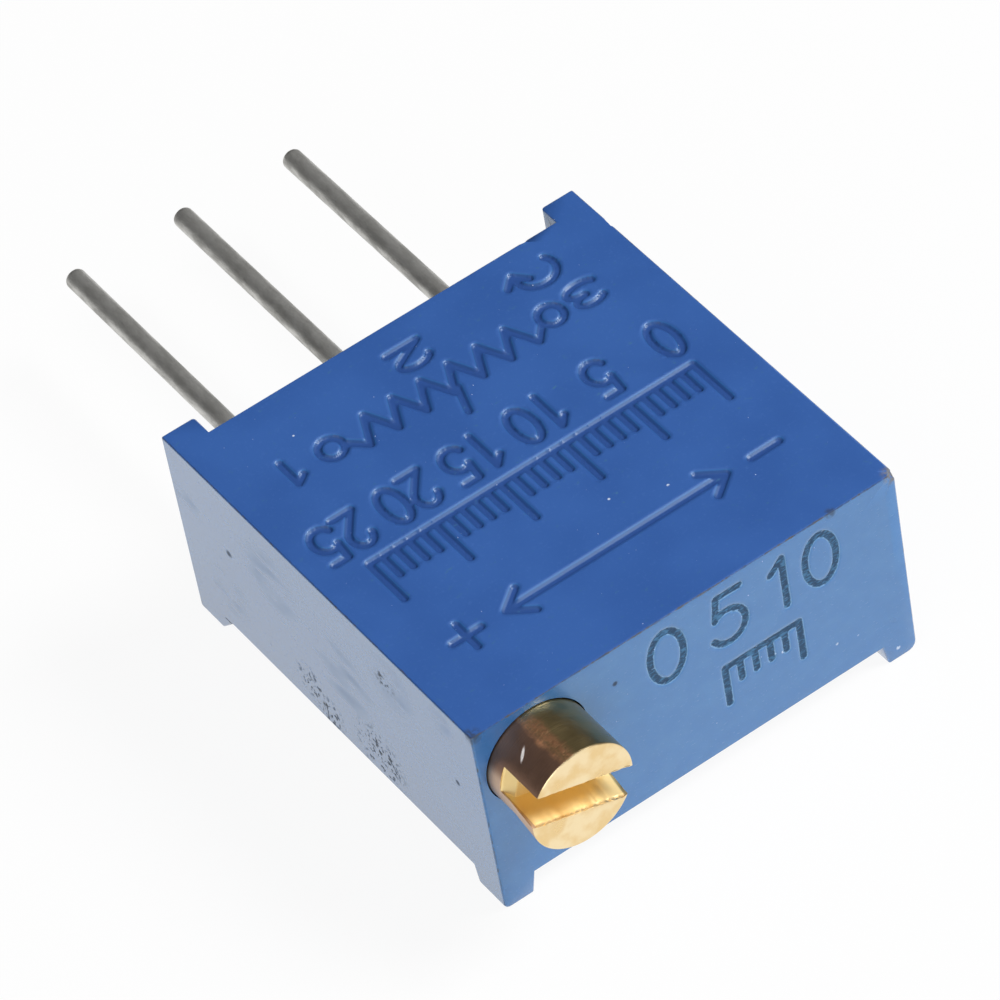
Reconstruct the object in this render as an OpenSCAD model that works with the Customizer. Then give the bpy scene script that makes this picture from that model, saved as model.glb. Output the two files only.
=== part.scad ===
// Multi-turn trimmer potentiometer, worm driven, lying on its back with the marked face up.
// Sizes are in millimetres. Across is X, the screw looks along -Y and the leads along +Y.
// Stations along Y are counted from the screw face and heights from the tips of the feet.

/* [Housing] */
// Width across the two sides
body_w = 9.53; // [9:0.01:11.5]
// Length from the screw face to the end wall
body_l = 9.53; // [9:0.01:11.5]
// Thickness from the tips of the feet to the marked face
body_t = 4.76; // [4.6:0.01:5.8]
// Radius on the upright corners
corner_r = 0.08; // [0.05:0.01:0.3]
// Wall beside the gear cavity
side_wall = 0.65; // [0.6:0.01:0.8]
// Wall at the screw end
front_wall = 1.1; // [1:0.01:1.3]
// Wall at the lead end
end_wall = 0.63; // [0.55:0.01:0.75]
// Wall behind the marked face
top_wall = 0.5; // [0.4:0.01:0.6]
// Wall around the pocket in the open back
rim_wall = 0.45; // [0.35:0.01:0.5]

/* [Feet] */
// Height of the feet on the back
foot_h = 0.5; // [0.3:0.01:0.6]
// Width of a foot and of the rail above it
foot_w = 0.75; // [0.5:0.01:1]
// Length of the feet at the screw end
front_foot_l = 0.9; // [0.6:0.01:1.5]
// Length of the feet at the lead end, with the rail
rear_foot_l = 1.2; // [0.8:0.01:1.8]
// How far the inner side of a lead-end foot slopes back to its tip
foot_rake = 0.5; // [0:0.01:0.6]
// How far the other inner sides of the feet slope to the tip
foot_draft = 0.1; // [0:0.01:0.2]
// How far the rails stand out of the end wall
standoff = 0.5; // [0.3:0.01:0.8]

/* [Screw] */
// Diameter of the slotted head
head_d = 2.19; // [1.9:0.01:2.6]
// How far the head stands out of the housing
head_proj = 1.43; // [1:0.01:2]
// How far the head reaches into its counterbore
head_inset = 0.14; // [0.1:0.01:0.15]
// Chamfer round the end of the head
head_chamfer = 0.06; // [0.02:0.01:0.15]
// Housing wall between the head and the outside
screw_wall = 0.175; // [0.15:0.005:0.4]
// Width of the driver slot
slot_w = 0.56; // [0.4:0.01:0.8]
// Depth of the driver slot
slot_d = 0.76; // [0.4:0.01:1]
// Tilt of the driver slot at mid travel
slot_tilt = 17.6; // [0:0.1:90]
// Thickness of the seal's section
seal_t = 0.415; // [0.38:0.005:0.44]
// Room along the screw beside the seal
seal_room = 0.065; // [0.05:0.005:0.1]
// Radius of the groove that the clip sits in
clip_groove_r = 0.5; // [0.4:0.01:0.6]
// Radius of the journal in the end wall
tail_r = 0.42; // [0.3:0.01:0.6]
// How deep the tail sits in the end wall
tail_depth = 0.25; // [0.15:0.01:0.35]

/* [Worm drive] */
// Outer radius of the worm thread
thread_r = 0.8; // [0.75:0.01:0.85]
// Radius at the bottom of the thread
thread_root_r = 0.4; // [0.35:0.01:0.45]
// Length of the threaded stretch
thread_l = 4.2; // [3.6:0.1:4.4]
// Width of the thread's crest as a share of its lead
crest_share = 0.18; // [0.1:0.01:0.2]
// Width of the thread's foot as a share of its lead
foot_share = 0.42; // [0.3:0.01:0.45]
// Teeth on the wheel, which is also the screw turns for one wheel turn
wheel_teeth = 30; // [26:1:34]
// Width of a wheel tooth's tip as a share of its pitch
tip_share = 0.2; // [0.12:0.01:0.22]
// Width of a wheel tooth's root as a share of its pitch
root_share = 0.5; // [0.4:0.01:0.52]
// Gap between a tip and the root that it runs over
mesh_gap = 0.06; // [0.04:0.01:0.1]
// Thickness of the wheel
wheel_t = 0.9; // [0.6:0.01:0.9]
// Gap between the wheel and the nearest cavity wall
wheel_gap = 0.35; // [0.2:0.01:0.5]
// Radius of the stub that the wheel turns on
stub_r = 0.8; // [0.6:0.01:0.85]
// Travel of the wheel to each side of the middle
half_travel = 150; // [120:1:152]

/* [Retaining clip] */
// Width of the clip
clip_w = 1.5; // [1.4:0.01:1.56]
// Thickness of the clip
clip_t = 0.25; // [0.15:0.01:0.3]
// Reach of the clip behind the screw's axis
clip_back = 1.15; // [0.9:0.01:1.2]
// Reach of the clip past the screw's axis
clip_front = 0.55; // [0.4:0.01:0.6]

/* [Element] */
// Thickness of the ceramic substrate
substrate_t = 0.65; // [0.5:0.01:0.8]
// Thickness of a printed film
film_t = 0.03; // [0.02:0.005:0.05]
// Radius at the middle of the resistive track
track_r = 2.4; // [2.1:0.01:2.5]
// Width of the resistive track
track_w = 0.7; // [0.4:0.01:0.8]
// Radius at the middle of the collector ring
collector_r = 1.2; // [1:0.01:1.3]
// Width of the collector ring
collector_w = 0.7; // [0.4:0.01:0.8]
// Thickness of the potting
potting_t = 0.57; // [0.3:0.01:0.8]
// How far the potting lies below the housing's rim
potting_recess = 0.1; // [0:0.01:0.2]

/* [Wiper] */
// Thickness of the contact sheet
sheet_t = 0.08; // [0.05:0.01:0.12]
// Fingers on each contact arm
fingers = 3; // [2:1:4]
// Width of a contact arm
arm_w = 0.45; // [0.3:0.01:0.5]

/* [Leads] */
// Distance between neighbouring leads
lead_pitch = 2.54; // [2.4:0.01:2.7]
// Radius of the round wire
lead_r = 0.22; // [0.2:0.01:0.3]
// Length of the longest lead past the rails
lead_len = 7.27; // [3:0.01:12]
// Rounding on the cut end of a lead
lead_tip_r = 0.1; // [0.05:0.01:0.15]
// Width of the coined tail inside
tail_w = 0.62; // [0.5:0.01:0.7]
// Thickness of the coined tail inside
tail_t = 0.36; // [0.25:0.01:0.4]

/* [Fits] */
// Gap round a part that turns
run_gap = 0.03; // [0.02:0.005:0.05]
// Gap round a part that is set in place
set_gap = 0.05; // [0.02:0.01:0.08]
// Gap left in a joint filled with solder, epoxy or rubber
film_gap = 0.01; // [0.005:0.005:0.02]

/* [Hidden] */
$fn = 64;
cut = 1;                  // how far a cutter runs past the face that it opens
trims = [0, 0.05, 0.19];  // how much shorter each lead was cut than the longest

// Small fixed sizes of the screw's seat in the housing
shank_relief = 0.02;      // how far the plain shank stands out past the thread
thread_bury = 0.05;       // how far the thread runs on inside the plain shank
slices_per_turn = 14;
boss_l = 0.65;            // length of the journal boss inside the front wall
boss_wall = 0.22;
clip_floor = 0.14;        // clearance under the clip
shoulder_w = 0.5;         // ledge round the stub that keeps the wheel down

// The wheel's two rivets and the contact's tabs and fingers
peg_r = 0.14;
peg_head_w = 0.08;
peg_at = 1.32;
peg_angles = [150, 330];
ring_r = 1.7;             // outer radius of the contact's ring
ring_gap = 0.15;          // between the ring and the stub
tab_l = 0.3;
outer_arm_l = 1.35;
inner_arm_l = 1.2;
tip_l = 0.2;              // upturned end of a finger, its run and its rise
tip_rise = 0.14;
finger_step = 1.4;        // distance between fingers as a multiple of their width

// Solder, films and leads meet on pads in a row along the substrate's end.
pad_w = 1;
pad_l = 0.9;
strip_w = 0.5;            // width of the collector's conductor
strip_lap = 0.4;          // how far a conductor runs onto its pad
edge_inset = 0.05;
tail_inset = 0.1;         // from a pad's end to the end of the coined tail
round_inset = 0.13;       // from the end wall to where the wire turns round
solder_l = 0.7;
solder_inset = 0.06;
fillet_w = 0.12;          // solder beside the tail
crown_h = 0.1;            // solder above the tail
plug_recess = 0.02;

half_w = body_w / 2;
rail_l = body_l + standoff;
mid_l = (rail_l + lead_len - head_proj) / 2;
cavity_x = half_w - side_wall;
cavity_y = body_l - end_wall;
pocket_x = half_w - rim_wall;
pocket_y = body_l - rim_wall;
ceiling_z = body_t - top_wall;

potting_z = foot_h + potting_recess;
substrate_z = potting_z + potting_t;
seat_z = substrate_z + substrate_t;
film_z = seat_z + film_t;
lead_z = film_z + lead_r;
lead_window_z = lead_z + lead_r + 2 * set_gap;
lead_window_w = tail_w + 2 * set_gap;

head_r = head_d / 2;
screw_x = -(half_w - screw_wall - head_r);
screw_z = body_t - screw_wall - head_r;
gland_r = head_r + run_gap;
gland_l = head_inset + seal_t + seal_room;
neck_r = gland_r - seal_t - 2 * film_gap;
shank_r = thread_r + shank_relief;
journal_r = shank_r + run_gap;
channel_r = shank_r + set_gap;
boss_y = front_wall + boss_l;
boss_x = screw_x + journal_r + boss_wall;
boss_z = screw_z - clip_back - clip_floor;
clip_y = front_wall + set_gap;
clip_end = clip_y + clip_t;
clip_slot_end = clip_end + set_gap;

// The worm's pitch line lies midway along the depth that tooth and thread share.
tooth_tip_reach = thread_root_r + mesh_gap;
tooth_root_reach = thread_r + mesh_gap;
worm_pitch_r = (tooth_tip_reach + thread_r) / 2;
addendum = worm_pitch_r - tooth_tip_reach;
dedendum = tooth_root_reach - worm_pitch_r;
pitch_r_across = (cavity_x - wheel_gap - addendum - worm_pitch_r - screw_x) / 2;
pitch_r_along = (cavity_y - front_wall) / 2 - wheel_gap - addendum;
pitch_r = min(pitch_r_across, pitch_r_along);
lead = 2 * PI * pitch_r / wheel_teeth;
wheel_x = screw_x + worm_pitch_r + pitch_r;
wheel_y = (front_wall + cavity_y) / 2;
wheel_z = screw_z - wheel_t / 2;
wheel_top = wheel_z + wheel_t;
thread_y = wheel_y - thread_l / 2;
thread_end = thread_y + thread_l;

// The lug on the wheel and the stop on the ceiling leave the travel and 2 degrees at each end.
stop_r = 1.9;
stop_w = 0.6;
lug_half = 10;
stop_half = 180 - half_travel - lug_half - 2;
track_gap_half = 180 - half_travel;
end_film_sweep = 8;

pad_end = cavity_y - set_gap;
pad_y = pad_end - pad_l;
tail_y = pad_y + tail_inset;
round_y = body_l - round_inset;

function lead_x(n) = (n - 2) * lead_pitch;
function polar(r, a) = [r * cos(a), r * sin(a)];

// Everything is drawn from the screw face and moved so that the whole is centred on Y.
module placed() translate([0, -mid_l, 0]) children();

module box(x0, x1, y0, y1, z0, z1)
    translate([x0, y0, z0]) cube([x1 - x0, y1 - y0, z1 - z0]);

// A rod along +Y from station y0 to y1.
module rod(r, y0, y1) translate([0, y0, 0]) rotate([-90, 0, 0]) cylinder(r = r, h = y1 - y0);

module at_screw() translate([screw_x, 0, screw_z]) children();
module at_wheel(z) translate([wheel_x, wheel_y, z]) children();

// A sector of a flat ring about the Z axis.
module ring_sector(r0, r1, a0, a1, h)
    rotate([0, 0, a0]) rotate_extrude(angle = a1 - a0) translate([r0, 0]) square([r1 - r0, h]);

// ---- housing ----

module body_outline() {
    inset = half_w - corner_r;
    difference() {
        union() {
            translate([-inset, 0]) square([2 * inset, rail_l]);
            translate([-half_w, corner_r]) square([body_w, rail_l - 2 * corner_r]);
            for (x = [-inset, inset], y = [corner_r, rail_l - corner_r])
                translate([x, y]) circle(corner_r);
        }
        translate([foot_w - half_w, body_l]) square([body_w - 2 * foot_w, standoff + cut]);
    }
}

// The section of the gap between two feet, which widens to its mouth.
module foot_gap(a, b, slope_a, slope_b) {
    mouth = (foot_h + cut) / foot_h;
    polygon([[a, foot_h], [b, foot_h], [b + slope_b * mouth, -cut], [a - slope_a * mouth, -cut]]);
}

module outer_shell() {
    inner_x = half_w - foot_w;
    difference() {
        linear_extrude(height = body_t) body_outline();
        translate([0, rail_l + cut, 0]) rotate([90, 0, 0]) linear_extrude(height = rail_l + 2 * cut)
            foot_gap(-inner_x, inner_x, foot_draft, foot_draft);
        translate([-half_w - cut, 0, 0]) rotate([90, 0, 90]) linear_extrude(height = body_w + 2 * cut)
            foot_gap(front_foot_l, rail_l - rear_foot_l, foot_draft, foot_rake);
    }
}

module gear_cavity() {
    difference() {
        box(-cavity_x, cavity_x, front_wall, cavity_y, seat_z - cut, ceiling_z);
        box(-half_w, boss_x, 0, boss_y, boss_z, body_t);
    }
    at_screw() rod(channel_r, boss_y - film_gap, cavity_y);
}

module screw_bores() {
    at_screw() {
        rod(gland_r, -cut, gland_l);
        rod(journal_r, gland_l - film_gap, boss_y + film_gap);
        rod(tail_r + run_gap, cavity_y - film_gap, cavity_y + tail_depth + set_gap);
    }
    half = clip_w / 2 + set_gap / 2;
    box(screw_x - half, screw_x + half, front_wall, clip_slot_end, seat_z,
        screw_z + clip_front + set_gap);
}

module lead_windows() {
    for (n = [1, 2, 3])
        translate([lead_x(n), 0, 0])
            box(-lead_window_w / 2, lead_window_w / 2, cavity_y - film_gap, body_l + cut,
                -cut, lead_window_z);
}

module wheel_pivot() {
    shoulder_z = wheel_top + set_gap;
    shoulder_h = ceiling_z - shoulder_z + film_gap;
    at_wheel(wheel_z + set_gap) cylinder(r = stub_r, h = ceiling_z - wheel_z - set_gap + film_gap);
    at_wheel(shoulder_z) cylinder(r = stub_r + shoulder_w, h = shoulder_h);
    at_wheel(shoulder_z)
        ring_sector(stop_r, stop_r + stop_w, 90 - stop_half, 90 + stop_half, shoulder_h);
}

module housing() {
    color([0.24, 0.38, 0.66]) placed() {
        difference() {
            outer_shell();
            box(-pocket_x, pocket_x, rim_wall, pocket_y, -cut, seat_z);
            gear_cavity();
            screw_bores();
            lead_windows();
        }
        wheel_pivot();
    }
}

// ---- screw ----

module head_and_neck() {
    rotate([-90, 0, 0]) rotate_extrude() polygon([
        [0, -head_proj], [head_r - head_chamfer, -head_proj], [head_r, head_chamfer - head_proj],
        [head_r, head_inset], [neck_r, head_inset], [neck_r, gland_l - run_gap], [shank_r, gland_l - run_gap],
        [shank_r, clip_y - set_gap], [clip_groove_r, clip_y - set_gap], [clip_groove_r, clip_slot_end],
        [shank_r, clip_slot_end], [shank_r, thread_y], [0, thread_y]]);
}

// One turn's cross-section: a crest, two flanks and the root circle, by angle from the crest's middle.
function thread_section() =
    let (crest = 180 * crest_share, foot = 180 * foot_share, mid_r = (thread_r + thread_root_r) / 2)
    concat(
        [for (j = [0:3]) polar(thread_r, crest * (2 * j / 3 - 1))],
        [polar(mid_r, (crest + foot) / 2)],
        [for (j = [0:8]) polar(thread_root_r, foot + j * (360 - 2 * foot) / 8)],
        [polar(mid_r, -(crest + foot) / 2)]);

module worm_thread() {
    start = thread_y - thread_bury;
    turns = (thread_l + 2 * thread_bury) / lead;
    phase = 360 * (wheel_y + lead / 2 - start) / lead;
    translate([0, start, 0]) rotate([-90, 0, 0])
        linear_extrude(height = turns * lead, twist = -360 * turns,
                       slices = ceil(slices_per_turn * turns), segments = 1)
            rotate(-phase) polygon(thread_section());
}

module adjustment_screw() {
    color([0.86, 0.72, 0.42]) placed() at_screw() {
        difference() {
            head_and_neck();
            rotate([0, slot_tilt, 0])
                box(-head_d, head_d, -head_proj - cut, slot_d - head_proj, -slot_w / 2, slot_w / 2);
        }
        worm_thread();
        rod(shank_r, thread_end, cavity_y - 2 * set_gap);
        rod(tail_r, cavity_y - 2 * set_gap, cavity_y + tail_depth);
    }
}

module screw_o_ring() {
    section_r = seal_t / 2;
    color([0.15, 0.13, 0.12]) placed() at_screw()
        translate([0, (head_inset + gland_l) / 2, 0]) rotate([-90, 0, 0])
            rotate_extrude() translate([neck_r + film_gap + section_r, 0]) circle(section_r, $fn = 32);
}

module screw_clip() {
    opening_r = clip_groove_r + run_gap;
    color([0.72, 0.53, 0.28]) placed() at_screw() difference() {
        box(-clip_w / 2, clip_w / 2, clip_y, clip_end, -clip_back, clip_front);
        rod(opening_r, clip_y - cut, clip_end + cut);
        box(-opening_r, opening_r, clip_y - cut, clip_end + cut, 0, clip_front + cut);
    }
}

// ---- wheel and wiper ----

function tooth(i) =
    let (mid = 180 + i * 360 / wheel_teeth, tip_r = pitch_r + addendum, root_r = pitch_r - dedendum,
         tip_a = 180 * tip_share / wheel_teeth, root_a = 180 * root_share / wheel_teeth)
    [polar(root_r, mid - root_a), polar(tip_r, mid - tip_a),
     polar(tip_r, mid + tip_a), polar(root_r, mid + root_a)];

module worm_wheel() {
    color([0.93, 0.92, 0.86]) placed() {
        difference() {
            at_wheel(wheel_z) linear_extrude(height = wheel_t)
                polygon([for (i = [0:wheel_teeth - 1]) each tooth(i)]);
            at_wheel(wheel_z - cut) cylinder(r = stub_r + run_gap, h = wheel_t + 2 * cut);
        }
        at_wheel(wheel_top)
            ring_sector(stop_r, stop_r + stop_w, -90 - lug_half, -90 + lug_half,
                        ceiling_z - wheel_top - 2 * set_gap);
        for (a = peg_angles) at_wheel(wheel_z) rotate([0, 0, a]) translate([peg_at, 0, 0]) {
            translate([0, 0, -sheet_t]) cylinder(r = peg_r, h = sheet_t);
            translate([0, 0, -2 * sheet_t]) cylinder(r = peg_r + peg_head_w, h = sheet_t);
        }
    }
}

// A sprung arm in side view: it leaves the sheet at the origin, drops over its length and turns up.
module arm_side(length, drop) {
    slope_t = sheet_t * sqrt(1 + pow(drop / length, 2));
    end = length + tip_l;
    polygon([[0, 0], [length, slope_t - drop], [end, slope_t - drop + tip_rise], [end, tip_rise - drop],
             [length, -drop], [0, -slope_t]]);
}

// Fingers side by side along +Y, each running along +X.
module contact_arm(length, drop) {
    finger_w = arm_w / ((fingers - 1) * finger_step + 1);
    for (i = [0:fingers - 1])
        translate([0, (i * finger_step + 1) * finger_w, 0]) rotate([90, 0, 0])
            linear_extrude(height = finger_w) arm_side(length, drop);
}

module wiper() {
    drop = wheel_z - film_z - film_gap;
    outer_y = track_r - arm_w / 2;
    inner_y = collector_r - arm_w / 2;
    color([0.85, 0.8, 0.66]) placed() {
        difference() {
            union() {
                at_wheel(wheel_z - sheet_t) cylinder(r = ring_r, h = sheet_t);
                at_wheel(wheel_z - sheet_t)
                    box(-outer_arm_l - tab_l, -outer_arm_l, -outer_y - arm_w, 0, 0, sheet_t);
                at_wheel(wheel_z - sheet_t)
                    box(inner_arm_l, inner_arm_l + tab_l, 0, inner_y + arm_w, 0, sheet_t);
            }
            at_wheel(wheel_z - cut) cylinder(r = stub_r + ring_gap, h = 2 * cut);
            for (a = peg_angles) at_wheel(wheel_z - cut) rotate([0, 0, a])
                translate([peg_at, 0, 0]) cylinder(r = peg_r + film_gap, h = 2 * cut);
        }
        at_wheel(wheel_z) translate([-outer_arm_l, -outer_y - arm_w, 0]) contact_arm(outer_arm_l, drop);
        at_wheel(wheel_z) translate([inner_arm_l, inner_y, 0]) mirror([1, 0, 0])
            contact_arm(inner_arm_l, drop);
    }
}

// ---- element ----

module substrate() {
    color([0.94, 0.94, 0.91]) placed()
        box(set_gap - pocket_x, pocket_x - set_gap, rim_wall + set_gap, pocket_y - set_gap,
            substrate_z, seat_z);
}

module resistive_track() {
    color([0.12, 0.13, 0.12]) placed() at_wheel(seat_z)
        ring_sector(track_r - track_w / 2, track_r + track_w / 2,
                    90 + track_gap_half, 450 - track_gap_half, film_t);
}

module pad(n)
    box(lead_x(n) - pad_w / 2, lead_x(n) + pad_w / 2, pad_y, pad_end, seat_z, film_z);

module collector_film() {
    color([0.75, 0.75, 0.73]) placed() {
        difference() {
            at_wheel(seat_z) cylinder(r = collector_r + collector_w / 2, h = film_t);
            at_wheel(seat_z - cut) cylinder(r = collector_r - collector_w / 2, h = 2 * cut);
        }
        box(wheel_x - strip_w / 2, wheel_x + strip_w / 2, wheel_y + collector_r, pad_y + strip_lap,
            seat_z, film_z);
        pad(2);
    }
}

// side is -1 for the film at terminal 1 and 1 for the film at terminal 3.
module end_film(side) {
    r0 = track_r - track_w / 2;
    r1 = track_r + track_w / 2;
    a = 90 - side * track_gap_half;
    near = a + side * end_film_sweep;
    mid = a + side * end_film_sweep / 2;
    centre = [wheel_x, wheel_y];
    pad_x = side * lead_pitch;
    color([0.75, 0.75, 0.73]) placed() {
        at_wheel(seat_z) ring_sector(r0, r1, min(a, near), max(a, near), film_t);
        translate([0, 0, seat_z]) linear_extrude(height = film_t) polygon([
            centre + polar(r1 - edge_inset, mid), centre + polar(r1 - edge_inset, near),
            [pad_x - side * pad_w / 2, pad_y + strip_lap], [pad_x, pad_y + strip_lap],
            [pad_x + side * pad_w / 2, pad_y]]);
        pad(2 + side);
    }
}

module end_film_1() end_film(-1);
module end_film_3() end_film(1);

// ---- leads ----

module coined_tail(gap = 0) {
    box(-tail_w / 2 - gap, tail_w / 2 + gap, tail_y - gap, round_y,
        film_z - gap, film_z + tail_t + gap);
}

module terminal(n) {
    tip_y = rail_l + lead_len - trims[n - 1];
    color([0.72, 0.72, 0.72]) placed() translate([lead_x(n), 0, 0]) {
        coined_tail();
        translate([0, round_y, lead_z]) rotate([-90, 0, 0]) rotate_extrude() {
            square([lead_r, tip_y - round_y - lead_tip_r]);
            square([lead_r - lead_tip_r, tip_y - round_y]);
            translate([lead_r - lead_tip_r, tip_y - round_y - lead_tip_r]) intersection() {
                circle(lead_tip_r);
                square(lead_tip_r);
            }
        }
    }
}

module terminal_1() terminal(1);
module terminal_2() terminal(2);
module terminal_3() terminal(3);

module solder_joint(n) {
    foot = pad_w / 2 - film_gap;
    shoulder = tail_w / 2 + fillet_w;
    crown = tail_w / 2 - edge_inset;
    top = tail_t + crown_h;
    color([0.8, 0.8, 0.79]) placed() translate([lead_x(n), pad_end - solder_inset, film_z]) rotate([90, 0, 0])
        linear_extrude(height = solder_l) difference() {
            polygon([[-foot, 0], [foot, 0], [shoulder, tail_t],
                     [crown, top], [-crown, top], [-shoulder, tail_t]]);
            translate([-tail_w / 2 - film_gap, -film_gap])
                square([tail_w + 2 * film_gap, tail_t + 2 * film_gap]);
        }
}

module solder_joint_1() solder_joint(1);
module solder_joint_2() solder_joint(2);
module solder_joint_3() solder_joint(3);

// ---- potting ----

// Epoxy in one lead window, round the lead and down to the level of the slab.
module window_plug(n) {
    half = lead_window_w / 2;
    plug_end = body_l - plug_recess;
    translate([lead_x(n), 0, 0]) difference() {
        union() {
            box(-half, half, pocket_y, plug_end, potting_z, lead_window_z);
            box(-half, half, cavity_y, pocket_y + film_gap, seat_z, lead_window_z);
        }
        coined_tail(film_gap);
        translate([0, 0, lead_z]) rod(lead_r + film_gap, round_y - film_gap, body_l + cut);
    }
}

module back_potting() {
    color([0.13, 0.2, 0.36]) placed() {
        box(-pocket_x, pocket_x, rim_wall, pocket_y, potting_z, substrate_z);
        for (n = [1, 2, 3]) window_plug(n);
    }
}

housing();
adjustment_screw();
screw_o_ring();
screw_clip();
worm_wheel();
wiper();
substrate();
resistive_track();
collector_film();
end_film_1();
end_film_3();
terminal_1();
terminal_2();
terminal_3();
solder_joint_1();
solder_joint_2();
solder_joint_3();
back_potting();
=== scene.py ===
from math import copysign, cos, dist, exp, hypot, pi, radians, sin
import bpy
import bmesh
import numpy as np
from mathutils import Matrix, Vector, geometry, noise


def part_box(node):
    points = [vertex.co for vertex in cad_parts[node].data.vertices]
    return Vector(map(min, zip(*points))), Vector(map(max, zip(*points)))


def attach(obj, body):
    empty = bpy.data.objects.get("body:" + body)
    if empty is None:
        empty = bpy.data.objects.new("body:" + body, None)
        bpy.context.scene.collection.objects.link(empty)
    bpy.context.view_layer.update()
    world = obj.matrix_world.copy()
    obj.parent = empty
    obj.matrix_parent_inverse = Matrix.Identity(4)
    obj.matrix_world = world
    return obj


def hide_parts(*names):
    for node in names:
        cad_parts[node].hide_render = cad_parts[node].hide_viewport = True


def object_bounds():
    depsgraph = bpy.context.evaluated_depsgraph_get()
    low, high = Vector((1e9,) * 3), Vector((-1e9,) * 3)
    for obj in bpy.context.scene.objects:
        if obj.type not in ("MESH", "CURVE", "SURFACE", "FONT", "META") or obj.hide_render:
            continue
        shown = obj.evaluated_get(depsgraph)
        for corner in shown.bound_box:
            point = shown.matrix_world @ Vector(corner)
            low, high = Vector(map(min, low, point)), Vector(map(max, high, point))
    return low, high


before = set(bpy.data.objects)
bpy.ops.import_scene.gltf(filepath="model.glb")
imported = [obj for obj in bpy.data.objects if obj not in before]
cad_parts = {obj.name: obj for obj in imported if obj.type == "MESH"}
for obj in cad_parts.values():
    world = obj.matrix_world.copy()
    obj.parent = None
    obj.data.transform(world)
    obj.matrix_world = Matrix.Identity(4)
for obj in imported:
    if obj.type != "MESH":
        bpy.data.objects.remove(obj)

scene = bpy.context.scene
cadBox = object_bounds()
mm = 0.001  # pieces are shaped in millimetres and brought to metres when they are done


def cornersOf(node):  # lowest and highest corner of a CAD part, in millimetres
    low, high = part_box(node)
    return low / mm, high / mm


def bumps(x, y, z):
    return noise.noise(Vector((x, y, z)))


def srgb(code):  # hex colour to linear
    channels = [int(code[i:i + 2], 16) / 255 for i in (1, 3, 5)]
    return (*[c / 12.92 if c <= 0.04045 else ((c + 0.055) / 1.055) ** 2.4 for c in channels], 1)


nodeKinds = {  # short names for the nodes used most, with what they have unless a row says otherwise
    "smooth": ("ShaderNodeMapRange", {"interpolation_type": "SMOOTHSTEP"}),
    "range": ("ShaderNodeMapRange", {}), "mix": ("ShaderNodeMix", {"data_type": "RGBA"}),
    "noise": ("ShaderNodeTexNoise", {"Vector": "at"}), "mapping": ("ShaderNodeMapping", {"Vector": "at"}),
    "split": ("ShaderNodeSeparateXYZ", {}), "join": ("ShaderNodeCombineXYZ", {}),
    "bump": ("ShaderNodeBump", {}),
}
sums = "absolute divide greater_than less_than maximum minimum multiply multiply_add power sqrt subtract"
for word in sums.split():
    nodeKinds[word] = "ShaderNodeMath", {"operation": word.upper()}
for word in ("distance", "length", "multiply", "scale"):
    nodeKinds["vector " + word] = "ShaderNodeVectorMath", {"operation": word.upper()}


def outputOf(known, text):  # "node" means its first live output, "node.Name" the output of that name
    name, _, output = text.partition(".")
    source = known[name]
    if not isinstance(source, bpy.types.Node):
        return source
    return source.outputs[output] if output else next(socket for socket in source.outputs if socket.enabled)


# Values go to the node's first slots in order; a dictionary after them names its slots and settings.
def addNode(known, name, kind, *values):  # what names an earlier node is linked, the rest is set
    slots = (0, 6, 7) if kind == "mix" else range(len(values))
    kind, settings = nodeKinds.get(kind, (kind, {}))
    *plain, named = values if values and isinstance(values[-1], dict) else (*values, {})
    node = known["tree"].nodes.new(kind)
    for slot, value in {**settings, **named, **dict(zip(slots, plain))}.items():
        if isinstance(value, str) and value.partition(".")[0] in known:
            known["tree"].links.new(outputOf(known, value), node.inputs[slot])
        elif isinstance(slot, str) and hasattr(node, slot):
            setattr(node, slot, value)
        else:
            node.inputs[slot].default_value = srgb(value) if isinstance(value, str) else value
    known[name] = node


def addNodes(known, rows):  # rows of name, kind and values
    for row in rows:
        addNode(known, *row)


def newMaterial(name, roughness, metallic=0, ior=1.5):
    made = bpy.data.materials.new(name)
    made.use_nodes = True
    made.node_tree.nodes.clear()
    known = {"made": made, "tree": made.node_tree}
    addNodes(known, (
        ("shader", "ShaderNodeBsdfPrincipled", {"Roughness": roughness, "Metallic": metallic, "IOR": ior}),
        ("output", "ShaderNodeOutputMaterial", {"Surface": "shader"}),
        ("place", "ShaderNodeTexCoord"),
        ("at", "vector scale", "place.Object", {"Scale": 1 / mm}),  # the place on the piece in millimetres
    ))
    return known


def feedShader(known, sources):  # the last step of a material
    for socket, source in sources.items():
        known["tree"].links.new(outputOf(known, source), known["shader"].inputs[socket])
    return known["made"]


def newTree(name, inputs):  # a geometry tree with named inputs
    tree = bpy.data.node_groups.new(name, "GeometryNodeTree")
    tree.interface.new_socket("Geometry", in_out="OUTPUT", socket_type="NodeSocketGeometry")
    for label, kind in {"Geometry": "Geometry", **inputs, "material": "Material"}.items():
        tree.interface.new_socket(label, in_out="INPUT", socket_type="NodeSocket" + kind)
    given = tree.nodes.new("NodeGroupInput").outputs
    return {"tree": tree, **{socket.name: socket for socket in given if socket.name}}


def endTree(known, last):  # every tree ends in real geometry with a material
    addNodes(known, (
        ("real", "GeometryNodeRealizeInstances", last),
        ("dressed", "GeometryNodeSetMaterial", {"Geometry": "real", "Material": "material"}),
        ("end", "NodeGroupOutput", "dressed"),
    ))
    return known["tree"]


def benchPiece(name, bm):  # a working object in millimetres
    mesh = bpy.data.meshes.new(name)
    if bm:
        bm.to_mesh(mesh)
        bm.free()
    piece = bpy.data.objects.new(name, mesh)
    scene.collection.objects.link(piece)
    return piece


def applyModifiers(piece):
    seen = piece.evaluated_get(bpy.context.evaluated_depsgraph_get())
    done = bpy.data.meshes.new_from_object(seen)
    piece.modifiers.clear()
    piece.data = done


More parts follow.
